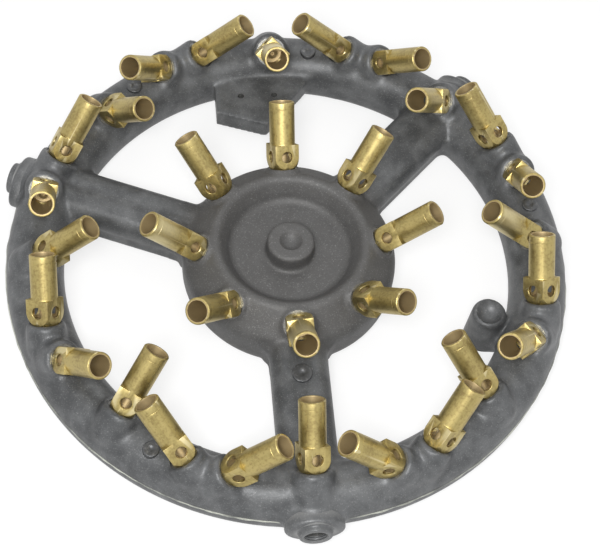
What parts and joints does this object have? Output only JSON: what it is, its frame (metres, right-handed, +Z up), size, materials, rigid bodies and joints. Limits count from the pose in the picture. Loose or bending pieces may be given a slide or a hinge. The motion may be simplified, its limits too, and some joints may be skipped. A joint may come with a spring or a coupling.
{
  "type": "gas ring burner",
  "caption": "Cast iron gas ring with spokes and a dished hub, carrying leaning brass venturi jets that converge over the ring.",
  "frame": {"origin": "on the hub's axis at the casting's flat underside", "axes": "+Z up, out of the burner; -Y towards the side port on the first spoke; +X completes the right-handed set"},
  "size_m": [0.4571, 0.4696, 0.0936],
  "materials": {
    "iron": "sand cast, satin",
    "brass": "machined",
    "plug": "driven flush and dark"
  },
  "bodies": {
    "root": {"burner_casting": "iron", "inward_jet_1": "brass", "inward_jet_2": "brass", "inward_jet_3": "brass", "inward_jet_4": "brass", "inward_jet_5": "brass", "inward_jet_6": "brass", "inward_jet_7": "brass", "inward_jet_8": "brass", "left_jet_1": "brass", "left_jet_2": "brass", "left_jet_3": "brass", "left_jet_4": "brass", "left_jet_5": "brass", "left_jet_6": "brass", "left_jet_7": "brass", "left_jet_8": "brass", "right_jet_1": "brass", "right_jet_2": "brass", "right_jet_3": "brass", "right_jet_4": "brass", "right_jet_5": "brass", "right_jet_6": "brass", "right_jet_7": "brass", "right_jet_8": "brass", "hub_jet_1": "brass", "hub_jet_2": "brass", "hub_jet_3": "brass", "hub_jet_4": "brass", "hub_jet_5": "brass", "hub_jet_6": "brass", "hub_jet_7": "brass", "hub_jet_8": "brass", "core_plug_1": "plug", "core_plug_2": "plug", "core_plug_3": "plug", "core_plug_4": "plug", "core_plug_5": "plug"}
  },
  "joints": []
}
